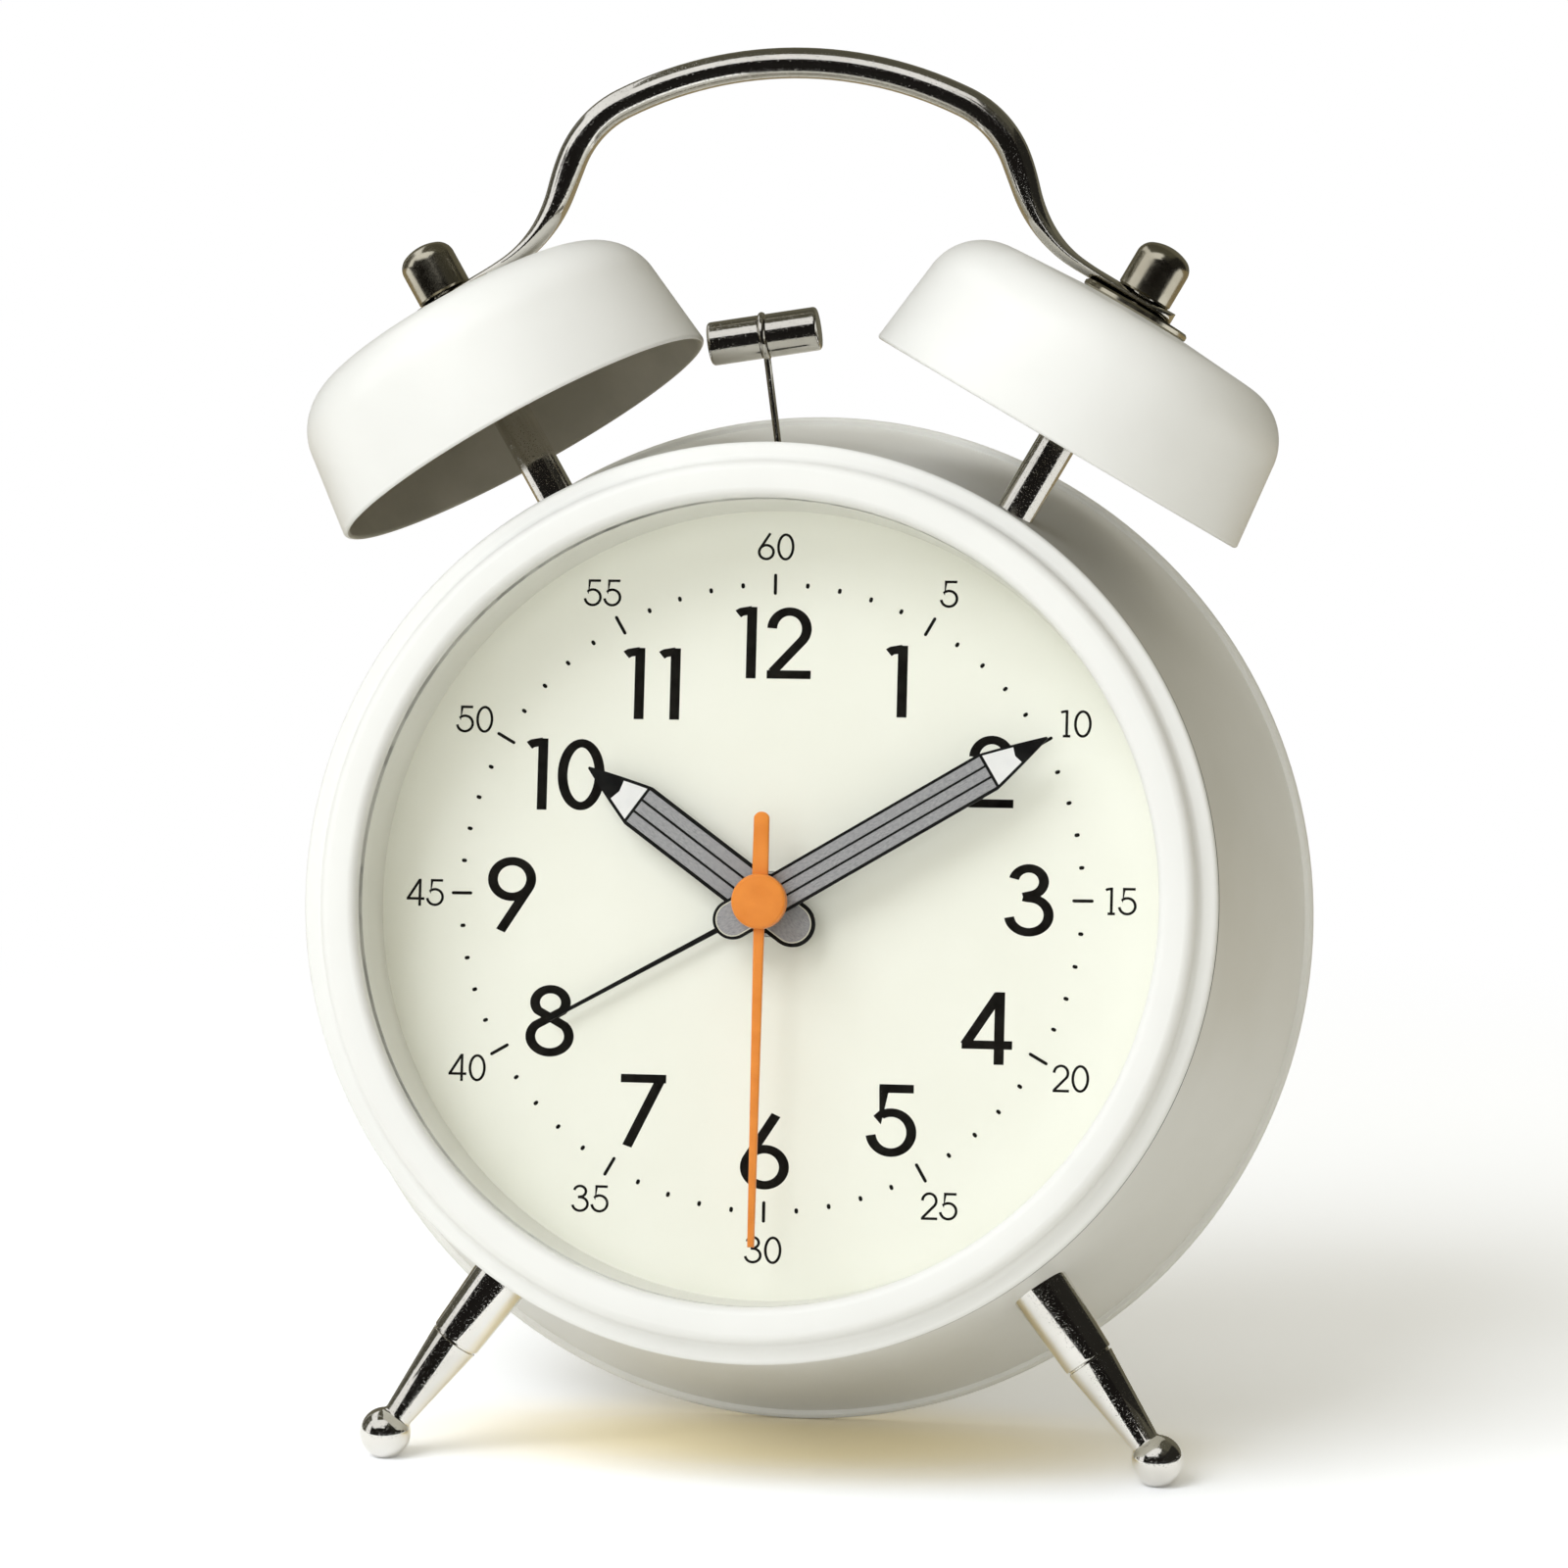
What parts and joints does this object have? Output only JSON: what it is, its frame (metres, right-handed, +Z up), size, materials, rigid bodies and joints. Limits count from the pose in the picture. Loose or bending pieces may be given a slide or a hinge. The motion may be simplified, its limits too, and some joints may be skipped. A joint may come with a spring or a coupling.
{
  "type": "twin bell alarm clock",
  "caption": "Desk alarm clock with a round flared case, dial behind a lens, bells struck by a swinging hammer, carrying handle, ball feet, quartz movement and battery door.",
  "frame": {"origin": "centre of the clock's box on the surface that it stands on", "axes": "+Z up, +X to the right as the dial is read, -Y out of the dial, which leans back"},
  "size_m": [0.1194, 0.0656, 0.1607],
  "materials": {
    "white_enamel": "smooth gloss enamel",
    "chrome": "polished plating",
    "steel": "plain zinc-plated steel",
    "dial_cream": "matte cream with printed numerals",
    "ring_white": "fine matte moulding",
    "clear_lens": "clear and polished",
    "pale_plastic": "fine spark-eroded moulding",
    "dark_plastic": "satin moulding",
    "grey_hand": "matte print on sheet metal",
    "black_hand": "matte black",
    "orange_hand": "satin orange",
    "wheel_brass": "stamped and cut brass",
    "magnet": "sintered magnet",
    "winding": "lacquered copper wire",
    "board_green": "solder mask",
    "cell_sleeve": "plain printed sleeve",
    "wire_red": "soft insulation"
  },
  "bodies": {
    "case": {"case_drum": "white_enamel", "front_bezel": "white_enamel", "lens": "clear_lens", "dial_surround": "ring_white", "dial": "dial_cream", "back_cover": "pale_plastic", "cover_screws": "steel", "movement_housing": "pale_plastic", "movement_cover": "pale_plastic", "movement_screws": "steel", "housing_screws": "steel", "circuit_board": "board_green", "stepper_coil": "winding", "stator": "steel", "batteries": "cell_sleeve", "battery_contacts": "steel", "lead_wires": "wire_red", "alarm_motor": "steel", "motor_bracket": "steel", "bracket_screws": "steel", "hammer_pin": "steel", "left_leg": "chrome", "right_leg": "chrome", "leg_nuts": "steel", "left_bell": "white_enamel", "right_bell": "white_enamel", "left_post": "chrome", "right_post": "chrome", "post_nuts": "steel", "handle_washers": "chrome", "carry_handle": "chrome", "left_cap_nut": "chrome", "right_cap_nut": "chrome"},
    "seconds": {"second_hand": "orange_hand", "second_wheel": "wheel_brass"},
    "third": {"third_wheel": "wheel_brass"},
    "step": {"step_wheel": "wheel_brass"},
    "rotor": {"rotor": "magnet"},
    "minutes": {"minute_hand": "grey_hand", "centre_wheel": "wheel_brass"},
    "motion": {"motion_wheel": "wheel_brass"},
    "hours": {"hour_hand": "grey_hand", "hour_wheel": "wheel_brass"},
    "alarm": {"alarm_hand": "black_hand", "alarm_wheel": "wheel_brass"},
    "alarm_setting": {"alarm_knob": "dark_plastic", "alarm_set_wheel": "wheel_brass"},
    "time_setting": {"time_knob": "dark_plastic", "time_set_wheel": "wheel_brass"},
    "switch": {"alarm_switch": "dark_plastic"},
    "hammer": {"hammer_head": "chrome", "hammer_wire": "chrome", "hammer_lever": "steel"},
    "crank": {"motor_crank": "steel"},
    "door": {"battery_door": "pale_plastic"}
  },
  "joints": [
    {"name": "second_spin", "type": "hinge", "parent": "case", "child": "seconds", "pos_m": [0, -0.01137, 0.06474], "axis": [0, 0.9834, -0.1817], "continuous": true},
    {"name": "third_spin", "type": "hinge", "parent": "case", "child": "third", "pos_m": [0.01015, -0.01204, 0.0611], "axis": [0, 0.9834, -0.1817], "continuous": true},
    {"name": "step_spin", "type": "hinge", "parent": "case", "child": "step", "pos_m": [-0.0084, -0.01137, 0.06474], "axis": [0, 0.9834, -0.1817], "continuous": true},
    {"name": "rotor_spin", "type": "hinge", "parent": "case", "child": "rotor", "pos_m": [-0.01528, -0.01225, 0.06], "axis": [0, 0.9834, -0.1817], "continuous": true},
    {"name": "minute_spin", "type": "hinge", "parent": "case", "child": "minutes", "pos_m": [0, -0.01137, 0.06474], "axis": [0, 0.9834, -0.1817], "continuous": true},
    {"name": "motion_spin", "type": "hinge", "parent": "case", "child": "motion", "pos_m": [0, -0.00955, 0.07457], "axis": [0, 0.9834, -0.1817], "continuous": true},
    {"name": "hour_spin", "type": "hinge", "parent": "case", "child": "hours", "pos_m": [0, -0.01137, 0.06474], "axis": [0, 0.9834, -0.1817], "continuous": true},
    {"name": "time_set_spin", "type": "hinge", "parent": "case", "child": "time_setting", "pos_m": [0.0115, -0.00955, 0.07457], "axis": [0, 0.9834, -0.1817], "continuous": true},
    {"name": "alarm_set_spin", "type": "hinge", "parent": "case", "child": "alarm_setting", "pos_m": [-0.0099, -0.00957, 0.07447], "axis": [0, 0.9834, -0.1817], "continuous": true},
    {"name": "alarm_spin", "type": "hinge", "parent": "case", "child": "alarm", "pos_m": [0, -0.01137, 0.06474], "axis": [0, 0.9834, -0.1817], "continuous": true},
    {"name": "hammer_swing", "type": "hinge", "parent": "case", "child": "hammer", "pos_m": [0.0012, 0.00125, 0.10003], "axis": [0, 0.9834, -0.1817], "range_deg": [-0.8, 13.5]},
    {"name": "crank_spin", "type": "hinge", "parent": "case", "child": "crank", "pos_m": [0.0015, -0.0061, 0.09325], "axis": [0, 0.9834, -0.1817], "continuous": true},
    {"name": "switch_slide", "type": "slide", "parent": "case", "child": "switch", "axis": [1, 0, 0], "range_m": [0, 0.004]},
    {"name": "door_lift", "type": "slide", "parent": "case", "child": "door", "axis": [0, 0.9834, -0.1817], "range_m": [0, 0.03]}
  ],
  "couplings": [
    {"joint": "third_spin", "follows": "second_spin", "ratio": -0.125},
    {"joint": "step_spin", "follows": "second_spin", "ratio": -5},
    {"joint": "rotor_spin", "follows": "second_spin", "ratio": 30},
    {"joint": "minute_spin", "follows": "second_spin", "ratio": 0.016667},
    {"joint": "motion_spin", "follows": "second_spin", "ratio": -0.0055556},
    {"joint": "hour_spin", "follows": "second_spin", "ratio": 0.0013889},
    {"joint": "time_set_spin", "follows": "second_spin", "ratio": 0.010417},
    {"joint": "alarm_spin", "follows": "alarm_set_spin", "ratio": -0.75}
  ]
}
